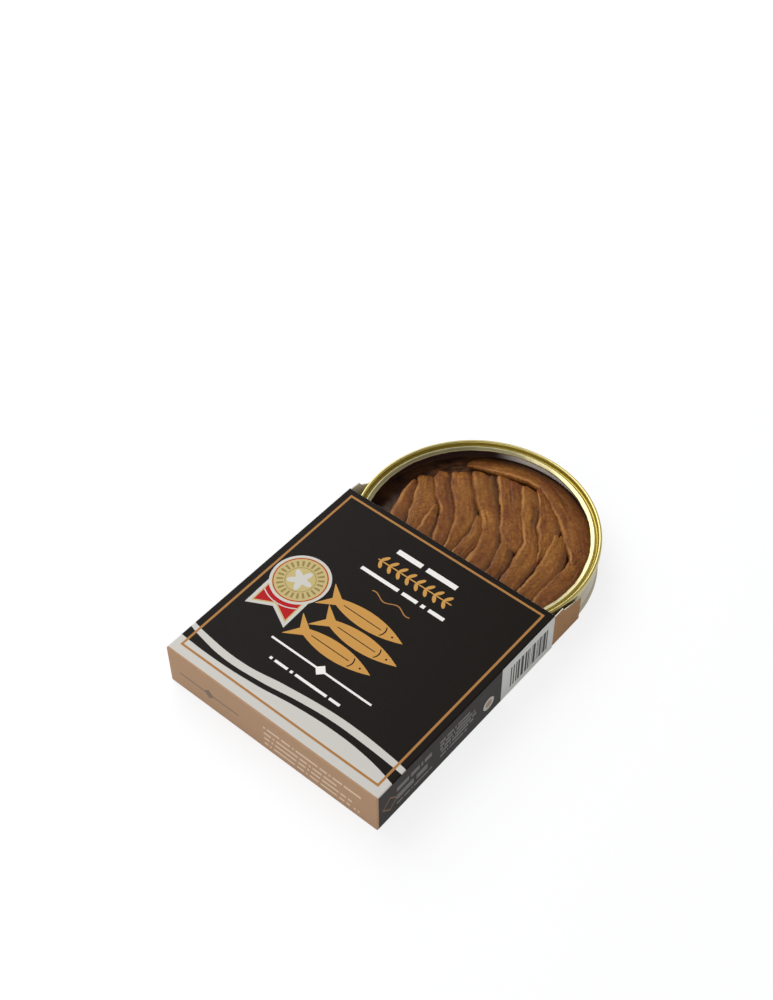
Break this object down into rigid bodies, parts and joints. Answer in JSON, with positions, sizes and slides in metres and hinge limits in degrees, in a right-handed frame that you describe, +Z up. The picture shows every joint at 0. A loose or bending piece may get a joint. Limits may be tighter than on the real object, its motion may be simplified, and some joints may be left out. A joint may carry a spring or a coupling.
{
  "type": "opened tin of anchovies",
  "caption": "Round gold-lacquered tin of anchovy fillets in oil, lid pulled off, half slid out of its flat black paperboard sleeve with two creased dust flaps",
  "frame": {"origin": "middle of the whole object's footprint, on the surface it stands on", "axes": "+Z up, +Y out of the sleeve's mouth towards the tin, +X towards the side wall with the bar pattern"},
  "size_m": [0.1054, 0.1754, 0.0209],
  "materials": {
    "printed_board": "satin",
    "gold_lacquer": "gloss",
    "oil": "gloss",
    "fish": "satin"
  },
  "bodies": {
    "pack": {"can": "gold_lacquer", "carton": "printed_board", "fillet_back_1": "fish", "fillet_back_2": "fish", "fillet_back_3": "fish", "fillet_back_4": "fish", "fillet_back_5": "fish", "fillet_back_6": "fish", "fillet_back_7": "fish", "fillet_back_8": "fish", "fillet_front_1": "fish", "fillet_front_2": "fish", "fillet_front_3": "fish", "fillet_front_4": "fish", "fillet_front_5": "fish", "fillet_front_6": "fish", "fillet_front_7": "fish", "fillet_front_8": "fish", "fillet_rim_1": "fish", "fillet_rim_2": "fish", "fillet_rim_3": "fish", "lid_ring": "gold_lacquer", "oil": "oil"},
    "left_flap": {"left_flap": "printed_board"},
    "right_flap": {"right_flap": "printed_board"}
  },
  "joints": [
    {"name": "left_flap_crease", "type": "hinge", "parent": "pack", "child": "left_flap", "pos_m": [-0.05242, 0.01953, 0.0107], "axis": [0, 0, 1], "range_deg": [0, 110]},
    {"name": "right_flap_crease", "type": "hinge", "parent": "pack", "child": "right_flap", "pos_m": [0.05242, 0.01953, 0.0107], "axis": [0, 0, -1], "range_deg": [0, 110]}
  ]
}
